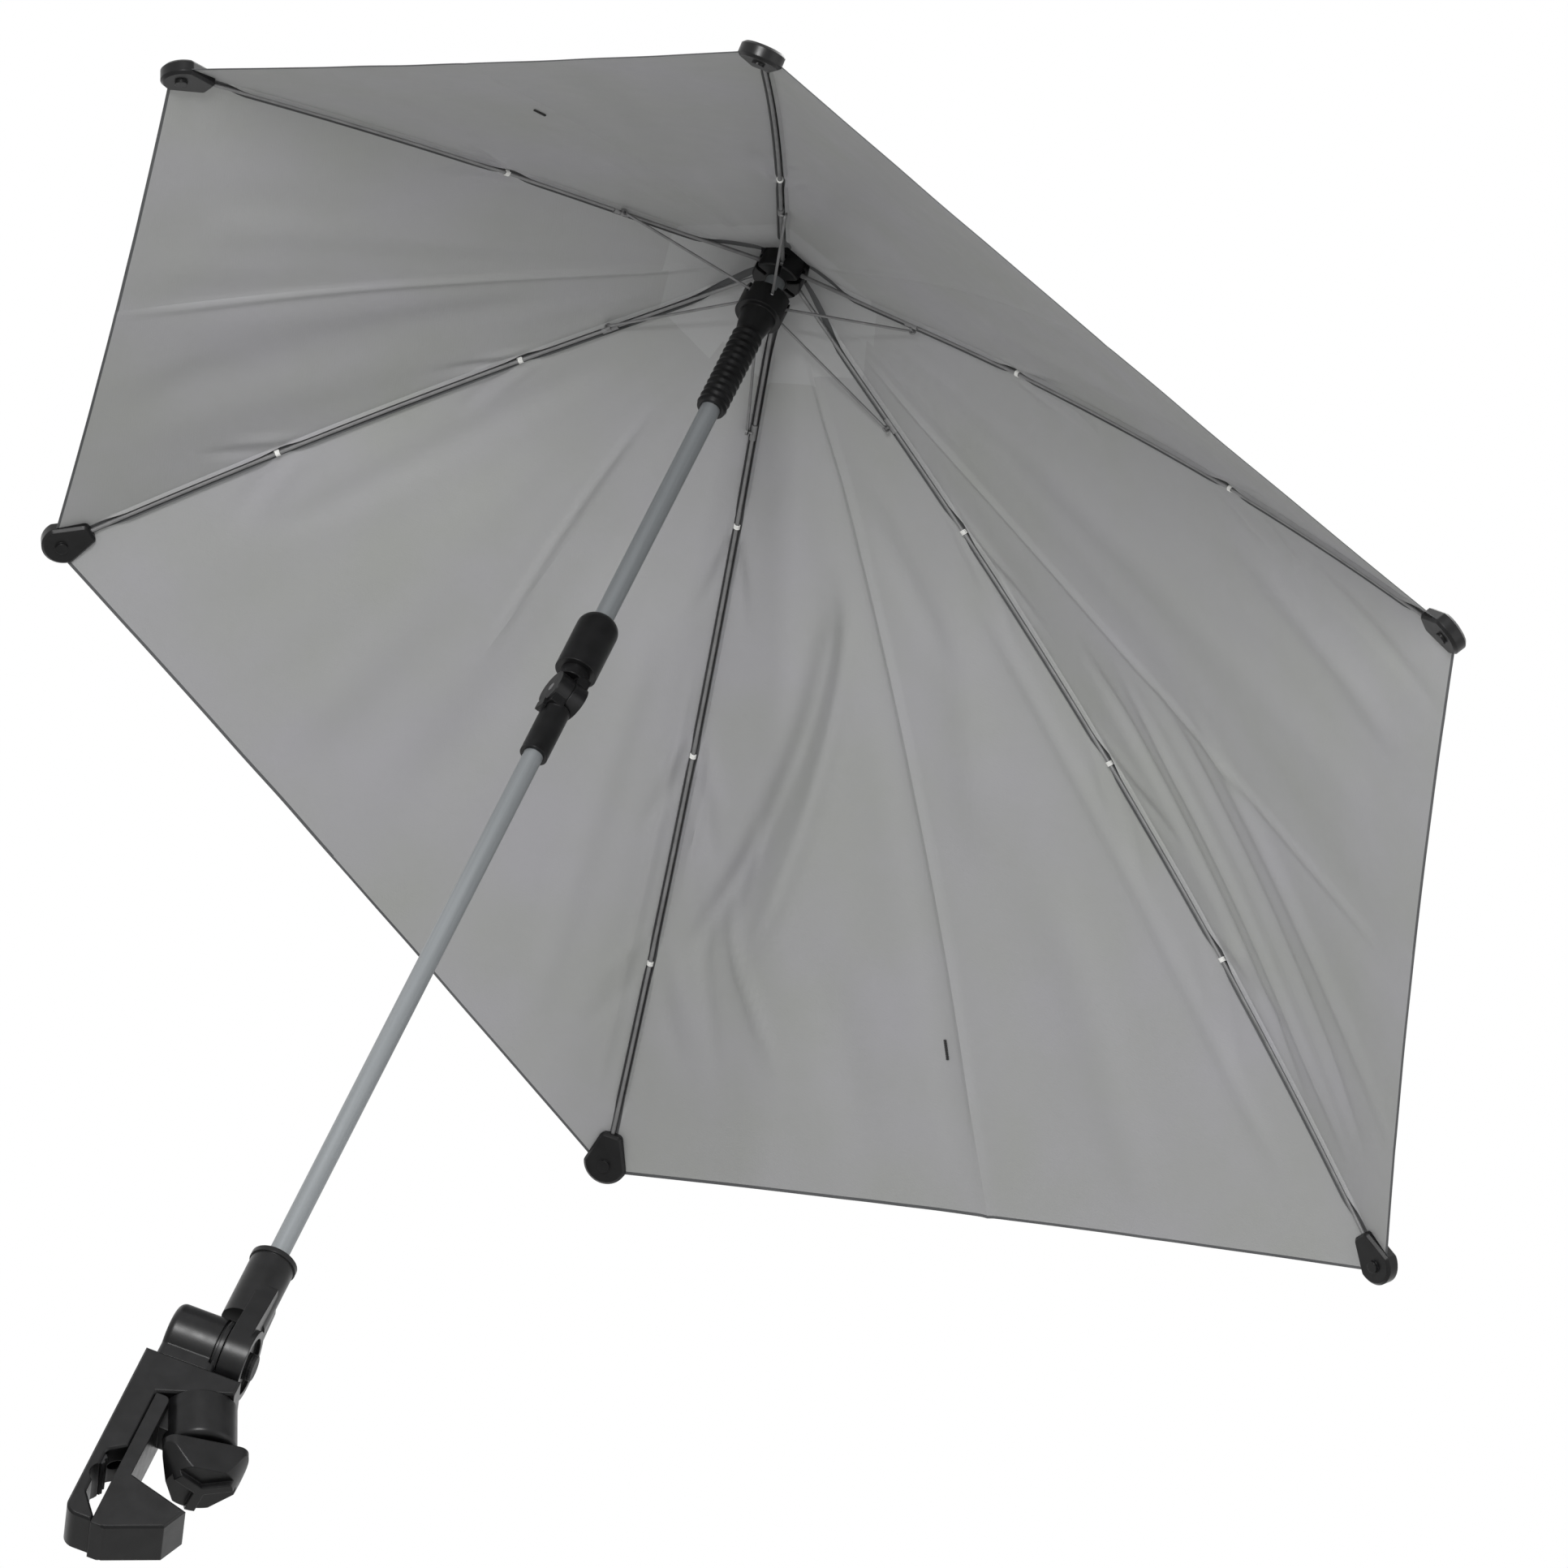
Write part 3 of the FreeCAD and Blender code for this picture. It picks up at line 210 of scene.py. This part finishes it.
class Nodes:
    """Small helper to wire a procedural material."""

    def __init__(self, name, colour, roughness, metallic=0.0):
        self.material = bpy.data.materials.new(name)
        self.material.use_nodes = True
        self.tree = self.material.node_tree
        self.shader = self.tree.nodes["Principled BSDF"]
        self.shader.inputs["Base Color"].default_value = (*colour, 1)
        self.shader.inputs["Roughness"].default_value = roughness
        self.shader.inputs["Metallic"].default_value = metallic
        self.place = self.tree.nodes.new("ShaderNodeTexCoord").outputs["Object"]

    def add(self, kind, **values):
        """New node with some of its inputs set."""
        made = self.tree.nodes.new(kind)
        for key, value in values.items():
            made.inputs[key].default_value = value
        return made

    def link(self, output, target):
        """Wire an output to an input."""
        self.tree.links.new(output, target)

    def noise(self, scale, detail=3.0, stretch=(1, 1, 1)):
        """Noise with so many features to the metre, fewer of them along an axis where asked."""
        mapping = self.add("ShaderNodeMapping", Scale=stretch)
        self.link(self.place, mapping.inputs["Vector"])
        noise = self.add("ShaderNodeTexNoise", Scale=scale, Detail=detail)
        self.link(mapping.outputs["Vector"], noise.inputs["Vector"])
        return noise.outputs["Fac"]

    def vary(self, fac, low, high):
        """Colour that wanders between two values with a texture."""
        ramp = self.tree.nodes.new("ShaderNodeValToRGB")
        start, end = ramp.color_ramp.elements
        start.color, start.position = (*low, 1), VARY_START
        end.color, end.position = (*high, 1), VARY_END
        self.link(fac, ramp.inputs["Fac"])
        self.link(ramp.outputs["Color"], self.shader.inputs["Base Color"])

    def rough(self, fac, middle, below, above):
        """Roughness that wanders below and above a middle value with a texture."""
        spread = self.tree.nodes.new("ShaderNodeMapRange")
        spread.inputs["To Min"].default_value = middle - below
        spread.inputs["To Max"].default_value = middle + above
        self.link(fac, spread.inputs["Value"])
        self.link(spread.outputs["Result"], self.shader.inputs["Roughness"])

    def bump(self, *heights, strength, distance, edge=0.0):
        """Relief from the sum of some textures, with edges shaded as rounded by a radius where asked."""
        total = heights[0]
        for height in heights[1:]:
            mix = self.tree.nodes.new("ShaderNodeMath")
            mix.operation = "ADD"
            self.link(total, mix.inputs[0])
            self.link(height, mix.inputs[1])
            total = mix.outputs["Value"]
        bump = self.add("ShaderNodeBump", Strength=strength, Distance=distance)
        self.link(total, bump.inputs["Height"])
        if edge:
            bevel = self.add("ShaderNodeBevel", Radius=edge)
            self.link(bevel.outputs["Normal"], bump.inputs["Normal"])
        self.link(bump.outputs["Normal"], self.shader.inputs["Normal"])


def cloth_material(name, low, high, sheen, roughness):
    """Woven cloth with fine threads both ways, faint mottling and a soft sheen."""
    cloth = Nodes(name, low, roughness)
    cloth.vary(cloth.noise(scale=9.0, detail=4.0), low, high)
    warp = cloth.noise(scale=1100.0, detail=2.0, stretch=(1, THREAD_STRETCH, 1))
    weft = cloth.noise(scale=1100.0, detail=2.0, stretch=(THREAD_STRETCH, 1, 1))
    cloth.bump(warp, weft, cloth.noise(scale=160.0), strength=0.22, distance=0.0003)
    cloth.rough(cloth.noise(scale=60.0), roughness, below=0.06, above=0.06)
    cloth.shader.inputs["Sheen Weight"].default_value = sheen
    return cloth.material


def plastic_material(name, shade, roughness, dots=0.0):
    """Moulded black plastic with fine grain and slightly rubbed patches, or with dots for the finger."""
    dark = (shade, shade, shade * DARK_BLUE)
    worn = shade * RUBBED_SHADE
    plastic = Nodes(name, dark, roughness)
    plastic.vary(plastic.noise(scale=70.0, detail=6.0), dark, (worn, worn, worn * RUBBED_BLUE))
    if dots:
        cells = plastic.add("ShaderNodeTexVoronoi", Scale=dots, Randomness=0.0)
        plastic.link(plastic.place, cells.inputs["Vector"])
        plastic.bump(cells.outputs["Distance"], strength=0.8, distance=0.0006, edge=MOULD_EDGE)
    else:
        grain = plastic.noise(scale=1400.0, detail=2.0)
        plastic.bump(grain, strength=0.25, distance=0.0001, edge=MOULD_EDGE)
    plastic.rough(plastic.noise(scale=120.0), roughness, below=0.07, above=0.09)
    plastic.shader.inputs["Specular IOR Level"].default_value = PLASTIC_SPECULAR
    return plastic.material


def metal_material(name, low, high, roughness, stretch, metallic):
    """Metal with fine lines, drawn out along its length by the stretch."""
    metal = Nodes(name, low, roughness, metallic)
    metal.vary(metal.noise(scale=300.0, stretch=stretch), low, high)
    metal.bump(metal.noise(scale=900.0, detail=2.0, stretch=stretch), strength=0.12, distance=0.0001)
    metal.rough(metal.noise(scale=200.0, stretch=stretch), roughness, below=0.05, above=0.08)
    return metal.material


cloth_inside = cloth_material("cloth_inside", (0.276, 0.281, 0.272), (0.296, 0.294, 0.308), 0.05, 0.44)
cloth_patch = cloth_material("cloth_patch", (0.315, 0.317, 0.320), (0.340, 0.342, 0.345), 0.05, 0.5)
cloth_outside = cloth_material("cloth_outside", (0.050, 0.052, 0.056), (0.062, 0.064, 0.068), 0.1, 0.8)
cloth_hem = cloth_material("cloth_hem", (0.060, 0.062, 0.065), (0.085, 0.087, 0.090), 0.05, 0.75)
# Dark seam band beside each rib: partly the seam's own colour, partly painted shade of the channel between
# the pleats
cloth_seam = cloth_material("cloth_seam", (0.060, 0.061, 0.063), (0.095, 0.097, 0.100), 0.05, 0.75)
white_thread = cloth_material("white_thread", (0.72, 0.72, 0.70), (0.80, 0.80, 0.78), 0.05, 0.8)
black_thread = cloth_material("black_thread", (0.012, 0.012, 0.012), (0.02, 0.02, 0.02), 0.05, 0.85)
black_plastic = plastic_material("black_plastic", 0.0036, 0.32)
dotted_plastic = plastic_material("dotted_plastic", 0.0065, 0.5, dots=520.0)
rubber = plastic_material("rubber", 0.012, 0.75)
aluminium = metal_material("satin_aluminium", (0.225, 0.240, 0.250), (0.265, 0.280, 0.290), 0.42,
                           stretch=(1, 1, 0.02), metallic=0.55)
steel = metal_material("plated_steel", (0.17, 0.17, 0.172), (0.23, 0.23, 0.232), 0.45,
                       stretch=(0.3, 0.3, 0.3), metallic=0.5)

# Material of each slot in the record
FINISH = {
    "black_plastic": black_plastic,
    "aluminium": aluminium,
    "steel": steel,
    "cloth": cloth_inside,
    "rubber": rubber,
}
# Materials on the inner side of the cloth, and their slots; the seam band's dark is partly painted shade
CLOTH_INNER = (cloth_inside, cloth_hem, cloth_seam, cloth_patch)
PLAIN_SLOT, HEM_SLOT, SEAM_SHADE_SLOT, PATCH_SLOT = range(len(CLOTH_INNER))


def dress_nodes():
    """Give every CAD node its procedural finish."""
    for part in frame["record"]["subparts"]:
        mesh = frame["nodes"][part["node"]].data
        mesh.materials.clear()
        dotted = part["node"] == "tilt_button"
        mesh.materials.append(dotted_plastic if dotted else FINISH[part["material_slot"]])


def mesh_object(name, mesh, materials):
    """Turn a bmesh into an object with its materials."""
    data = bpy.data.meshes.new(name)
    mesh.to_mesh(data)
    mesh.free()
    for material in materials:
        data.materials.append(material)
    piece = bpy.data.objects.new(name, data)
    scene.collection.objects.link(piece)
    return piece


def smooth(value):
    """Soft step from 0 to 1."""
    value = min(1.0, max(0.0, value))
    return value * value * (3 - 2 * value)


def bell(offset, half_width):
    """Rounded bump: 1 at no offset, and little beyond its half width."""
    return math.exp(-(offset / half_width) ** 2)


class RibLine:
    """Centre line of a rib: straight to past its bracket, then a bow to the tip."""

    def __init__(self, number):
        reach, drop, turn = RIBS[number]
        turn = math.radians(turn + MAST_TURN)
        self.out = Vector((math.cos(turn), math.sin(turn), 0))
        self.across = Vector((-self.out.y, self.out.x, 0))
        self.along = (math.cos(RIB_SLOPE), -math.sin(RIB_SLOPE))
        self.down = (-math.sin(RIB_SLOPE), -math.cos(RIB_SLOPE))
        self.bend = (HINGE_RADIUS + self.along[0] * STRAIGHT_LENGTH, self.along[1] * STRAIGHT_LENGTH)
        chord = (reach - self.bend[0], -drop - self.bend[1])
        half = math.atan2(chord[0] * self.down[0] + chord[1] * self.down[1],
                          chord[0] * self.along[0] + chord[1] * self.along[1])
        self.radius = math.hypot(*chord) / 2 / math.sin(half)
        self.length = STRAIGHT_LENGTH + self.radius * 2 * half
        self.first = (CLOTH_START - HINGE_RADIUS) / self.along[0]
        self.covered = self.length - RIM_INSET - self.first

    def at(self, distance):
        """Point of the rib a distance from its hinge."""
        if distance < STRAIGHT_LENGTH:
            flat, height = HINGE_RADIUS + self.along[0] * distance, self.along[1] * distance
        else:
            angle = (distance - STRAIGHT_LENGTH) / self.radius
            forward, sunk = self.radius * math.sin(angle), self.radius * (1 - math.cos(angle))
            flat = self.bend[0] + self.along[0] * forward + self.down[0] * sunk
            height = self.bend[1] + self.along[1] * forward + self.down[1] * sunk
        return CROWN + self.out * flat + Vector((0, 0, height))

    def distance(self, share):
        """Distance along the rib at a share of the way from the crown to the rim."""
        return self.first + share * self.covered

    def share(self, distance):
        """Share of the way from the crown to the rim at a distance along the rib."""
        return (distance - self.first) / self.covered

    def cloth(self, share):
        """Point of the cloth above the rib, at a share of the way from the crown to the rim."""
        distance = self.distance(share)
        lift = CLOTH_LIFT + CROWN_LIFT * bell(distance - self.first, CROWN_LIFT_REACH)
        return self.at(distance) + Vector((0, 0, lift))


LINES = {number: RibLine(number) for number in RIBS}


def next_rib(number, step):
    """The neighbouring rib on one side."""
    return (number - 1 + step) % RIB_COUNT + 1


def tack_puckers():
    """A pair of small creases, one down and one up, on both sides of each tack, each with its panel."""
    for rib, places in TACK_PLACES.items():
        sides = ((rib, 0, PUCKER_SPREAD), (next_rib(rib, -1), 1, 1 - PUCKER_SPREAD))
        for place in places:
            share = LINES[rib].share(place)
            for panel, near, far in sides:
                for begin, height in ((share - PUCKER_GAP, PUCKER_HEIGHT), (share, -PUCKER_HEIGHT)):
                    yield panel, (near, far, begin, begin + PUCKER_LENGTH, PUCKER_HALF_WIDTH, height)


def folds_and_puckers():
    """The folds of each panel, followed by its puckers."""
    folds = {panel: list(rows) for panel, rows in FOLDS.items()}
    for panel, pucker in tack_puckers():
        folds[panel].append(pucker)
    return folds


ALL_FOLDS = folds_and_puckers()


def slack(side):
    """How free the cloth is between two ribs: 0 on a rib, 1 half-way."""
    return 4 * side * (1 - side)


def rim_calm(share):
    """How much unevenness the stretched rim leaves."""
    return 1 - RIM_CALM * smooth((share - RIM_START) / (1 - RIM_START))


def wrinkle(point, share, side):
    """Height of the faint unevenness that stretched cloth keeps."""
    flat = point - CROWN
    angle = math.atan2(flat.y, flat.x)
    reach = math.hypot(flat.x, flat.y)
    waves = sum(strength * math.sin(around * angle + outward * reach)
                for strength, around, outward in WRINKLE_WAVES)
    return WRINKLE * waves * slack(side) * share * rim_calm(share)


def fold_depth(panel, share, side, width):
    """How far the panel's folds push the cloth down at one place."""
    depth = 0.0
    for side_in, side_out, begin, end, half_width, height in ALL_FOLDS[panel]:
        if not begin < share < end:
            continue
        way = (share - begin) / (end - begin)
        centre = side_in + (side_out - side_in) * way
        fade = smooth((share - begin) / FOLD_FADE) * smooth((end - share) / FOLD_FADE)
        depth += height * fade * bell((side - centre) * width, half_width)
    beside_rib = smooth(min(side, 1 - side) * width / SEAM_STEPS[-1])
    return depth * beside_rib * rim_calm(share)


def seam_depth(rib, share, offset):
    """How far the seam's standing edge hangs down beside a rib; each tack pinches it."""
    line = LINES[rib]
    distance = line.distance(share)
    to_tip = line.length - distance
    hold = smooth((distance - SEAM_CALM) / SEAM_FADE) * smooth((to_tip - SEAM_TIP) / SEAM_FADE)
    for place in TACK_PLACES[rib]:
        hold *= 1 - PINCH * bell(distance - place, PINCH_LENGTH)
    return SEAM_HEIGHT * hold * bell(offset - SEAM_PLACE, SEAM_HALF_WIDTH)


def cloth_point(number, neighbour, share, side):
    """Point of the cloth between two ribs; side runs from 0 on the first rib to 1 on the next."""
    here, there = LINES[number].cloth(share), LINES[neighbour].cloth(share)
    width = (there - here).length
    flat = here.lerp(there, side) - CROWN
    inward = 1 - SCALLOP * slack(side) * share ** 2
    point = CROWN + Vector((flat.x * inward, flat.y * inward, flat.z))
    forward = neighbour == next_rib(number, 1)
    panel, across = (number, side) if forward else (neighbour, 1 - side)
    nearer, offset = (number, side * width) if side <= CREASE else (neighbour, (1 - side) * width)
    sunk = fold_depth(panel, share, across, width) + seam_depth(nearer, share, offset)
    return point + Vector((0, 0, wrinkle(point, share, side) - sunk))


def column_sides(width):
    """Stations across half a panel: close ones for the seam beside the rib, then even ones to the crease."""
    scale = min(1.0, SEAM_SHARE * width / SEAM_STEPS[-1]) / width
    seam = [step * scale for step in SEAM_STEPS]
    rest = CREASE - seam[-1]
    return seam + [seam[-1] + rest * step / COLUMNS for step in range(1, COLUMNS + 1)]


def half_row(number, step, share):
    """Points of the cloth from a rib to the crease on one side of it."""
    other = next_rib(number, step)
    width = (LINES[other].cloth(share) - LINES[number].cloth(share)).length
    return [cloth_point(number, other, share, side) for side in column_sides(width)]


def rim_crease(number, step):
    """Rim point at the crease on one side of a rib."""
    return cloth_point(number, next_rib(number, step), 1.0, CREASE)


def sheet_mesh(number):
    """The cloth from crease to crease over one rib, with its hem, its dark seam band (partly painted shade
    of the channel beside the rib) and its patch by slot.
    """
    length = LINES[number].length
    hem_share = 1 - HEM_WIDTH / length
    shares = [row / ROWS * hem_share for row in range(ROWS + 1)] + [1.0]
    mesh = bmesh.new()
    grid = []
    for share in shares:
        points = half_row(number, -1, share)[::-1] + half_row(number, 1, share)[1:]
        grid.append([mesh.verts.new(point) for point in points])
    middle = len(grid[0]) // 2
    for share, inner, outer in zip(shares, grid, grid[1:]):
        for column in range(len(inner) - 1):
            face = mesh.faces.new((inner[column], inner[column + 1], outer[column + 1], outer[column]))
            face.smooth = True
            face.material_index = PLAIN_SLOT
            if outer is grid[-1]:
                face.material_index = HEM_SLOT
            # Dark seam band beside the rib, partly painted shade of the channel between the pleats
            elif middle - SEAM_SHADE_BAND <= column < middle + SEAM_SHADE_BAND:
                face.material_index = SEAM_SHADE_SLOT
            elif share * length < PATCH_REACH:
                face.material_index = PATCH_SLOT
    bmesh.ops.recalc_face_normals(mesh, faces=mesh.faces)
    if mesh.faces[0].normal.z > 0:
        bmesh.ops.reverse_faces(mesh, faces=mesh.faces)
    return mesh


def thicken(piece):
    """Give a sheet its thickness upwards, with the outer cloth on its other side."""
    shell = piece.modifiers.new("thickness", "SOLIDIFY")
    shell.thickness = CLOTH_THICKNESS
    shell.offset = -1
    shell.material_offset = len(CLOTH_INNER)
    graph = bpy.context.evaluated_depsgraph_get()
    solid = bpy.data.meshes.new_from_object(piece.evaluated_get(graph))
    piece.modifiers.clear()
    piece.data = solid
    piece.data.set_sharp_from_angle(angle=SHARP_ANGLE)


def crumple(piece, line):
    """Give a piece of the cloth its own copy of its mesh."""
    tuple(line.across)
    tuple(line.at(STRAIGHT_LENGTH))
    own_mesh(piece)


def canopy_sheet(number):
    """The sheet of cloth on both sides of one rib, which stands for that rib's canopy solid."""
    line = LINES[number]
    mesh = sheet_mesh(number)
    area = sum(face.calc_area() for face in mesh.faces)
    materials = CLOTH_INNER + (cloth_outside,) * len(CLOTH_INNER)
    piece = mesh_object(f"canopy_cloth_{number}", mesh, materials)
    thicken(piece)
    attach(piece, f"rib_{number}")
    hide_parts(f"canopy_panel_{number}")
    wide = (rim_crease(number, 1) - rim_crease(number, -1)).length
    crumple(piece, line)


def thread_tack(number, index, distance):
    """A few turns of white thread round the rib."""
    line = LINES[number]
    start, ahead = line.at(distance), line.at(distance + TACK_LENGTH)
    forward = (ahead - start).normalized()
    side = line.across
    up = side.cross(forward)
    curve = bpy.data.curves.new(f"tack_{number}_{index}", "CURVE")
    curve.dimensions = "3D"
    curve.bevel_depth = TACK_THREAD
    curve.bevel_resolution = TACK_ROUNDNESS
    spline = curve.splines.new("POLY")
    count = TACK_TURNS * TACK_TURN_STEPS
    spline.points.add(count)
    for step, point in enumerate(spline.points):
        angle = 2 * math.pi * step / TACK_TURN_STEPS
        place = start + forward * (TACK_LENGTH * step / count)
        place += (side * math.cos(angle) + up * math.sin(angle)) * TACK_RADIUS
        point.co = (*place, 1)
    curve.materials.append(white_thread)
    piece = bpy.data.objects.new(curve.name, curve)
    scene.collection.objects.link(piece)
    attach(piece, f"rib_{number}")


def bar_tack(panel, share, side):
    """A short dense row of black stitches on the inner side of the cloth."""
    other = next_rib(panel, 1)
    nearer = panel if side < CREASE else other
    start = cloth_point(panel, other, share, side)
    along = (cloth_point(panel, other, share + LIE_STEP, side) - start).normalized()
    across = (cloth_point(panel, other, share, side + LIE_STEP) - start).normalized()
    below = along.cross(across)
    if below.z > 0:
        below = -below
    turn = Matrix((along, across, below)).transposed().to_4x4()
    scale = Matrix.Diagonal((BAR_LENGTH / BAR_STITCHES * STITCH_SHARE, BAR_WIDTH / 2, BAR_RISE, 1))
    mesh = bmesh.new()
    for stitch in range(BAR_STITCHES):
        offset = BAR_LENGTH * (stitch / (BAR_STITCHES - 1) - 0.5)
        centre = start + along * offset + below * BAR_RISE
        bmesh.ops.create_uvsphere(mesh, u_segments=STITCH_SEGMENTS, v_segments=STITCH_RINGS, radius=1,
                                  matrix=Matrix.Translation(centre) @ turn @ scale)
    piece = mesh_object(f"bar_tack_{panel}", mesh, (black_thread,))
    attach(piece, f"rib_{nearer}")
    crumple(piece, LINES[nearer])


def add_surround():
    """Even ambient light, and a white surround for the camera, for reflections and behind clear things."""
    world = bpy.data.worlds.new("studio")
    world.use_nodes = True
    tree = world.node_tree
    ambient = tree.nodes["Background"]
    ambient.inputs["Color"].default_value = WHITE
    ambient.inputs["Strength"].default_value = AMBIENT
    surround = tree.nodes.new("ShaderNodeBackground")
    surround.inputs["Color"].default_value = WHITE
    path = tree.nodes.new("ShaderNodeLightPath")
    seen = path.outputs["Is Camera Ray"]
    for kind in ("Is Glossy Ray", "Is Transmission Ray"):
        either = tree.nodes.new("ShaderNodeMath")
        either.operation = "MAXIMUM"
        tree.links.new(seen, either.inputs[0])
        tree.links.new(path.outputs[kind], either.inputs[1])
        seen = either.outputs["Value"]
    mix = tree.nodes.new("ShaderNodeMixShader")
    tree.links.new(seen, mix.inputs["Fac"])
    tree.links.new(ambient.outputs["Background"], mix.inputs[1])
    tree.links.new(surround.outputs["Background"], mix.inputs[2])
    tree.links.new(mix.outputs["Shader"], tree.nodes["World Output"].inputs["Surface"])
    scene.world = world


def add_lamps():
    """Soft studio lamps, the strongest on the camera's side."""
    for name, offset, size, power in LAMPS:
        light = bpy.data.lights.new(name, "AREA")
        light.size = size
        light.energy = power
        lamp = bpy.data.objects.new(name, light)
        lamp.location = VIEW_AIM + Vector(offset)
        lamp.rotation_euler = (-Vector(offset)).to_track_quat("-Z", "Y").to_euler()
        scene.collection.objects.link(lamp)


def add_camera():
    """Camera of the photograph."""
    level_share = math.cos(VIEW_ELEVATION)
    forward = Vector((level_share * math.cos(VIEW_AZIMUTH), level_share * math.sin(VIEW_AZIMUTH),
                      math.sin(VIEW_ELEVATION)))
    level = forward.cross(Vector((0, 0, 1))).normalized()
    rise = level.cross(forward)
    right = level * math.cos(VIEW_ROLL) + rise * math.sin(VIEW_ROLL)
    up = right.cross(forward)
    data = bpy.data.cameras.new("camera")
    data.sensor_width = SENSOR_MM
    data.lens = LENS_MM
    data.clip_end = VIEW_END
    camera = bpy.data.objects.new("camera", data)
    turn = Matrix((right, up, -forward)).transposed().to_4x4()
    camera.matrix_world = Matrix.Translation(VIEW_AIM - forward * VIEW_DISTANCE) @ turn
    scene.collection.objects.link(camera)
    scene.camera = camera


def add_floor():
    """Pale round floor below the clamp, seen from above only: the photograph looks up from below it."""
    mesh = bmesh.new()
    bmesh.ops.create_circle(mesh, cap_ends=True, segments=FLOOR_SIDES, radius=FLOOR_RADIUS)
    low, high = FLOOR_SHADES
    ground = Nodes("floor", low, roughness=0.9)
    ground.vary(ground.noise(scale=3.0), low, high)
    side = ground.tree.nodes.new("ShaderNodeNewGeometry")
    clear = ground.tree.nodes.new("ShaderNodeBsdfTransparent")
    mix = ground.tree.nodes.new("ShaderNodeMixShader")
    ground.link(side.outputs["Backfacing"], mix.inputs["Fac"])
    ground.link(ground.shader.outputs["BSDF"], mix.inputs[1])
    ground.link(clear.outputs["BSDF"], mix.inputs[2])
    ground.link(mix.outputs["Shader"], ground.tree.nodes["Material Output"].inputs["Surface"])
    floor = mesh_object("floor", mesh, (ground.material,))
    floor.location = (CROWN.x, CROWN.y, cad_box[0].z - FLOOR_DROP)


dress_nodes()
for rib_number in RIBS:
    canopy_sheet(rib_number)
for rib_number, tack_places in TACK_PLACES.items():
    for tack_index, tack_place in enumerate(tack_places):
        thread_tack(rib_number, tack_index, tack_place)
for bar_place in BAR_TACKS:
    bar_tack(*bar_place)
add_surround()
add_lamps()
add_camera()
add_floor()
scene.view_settings.view_transform = "Standard"
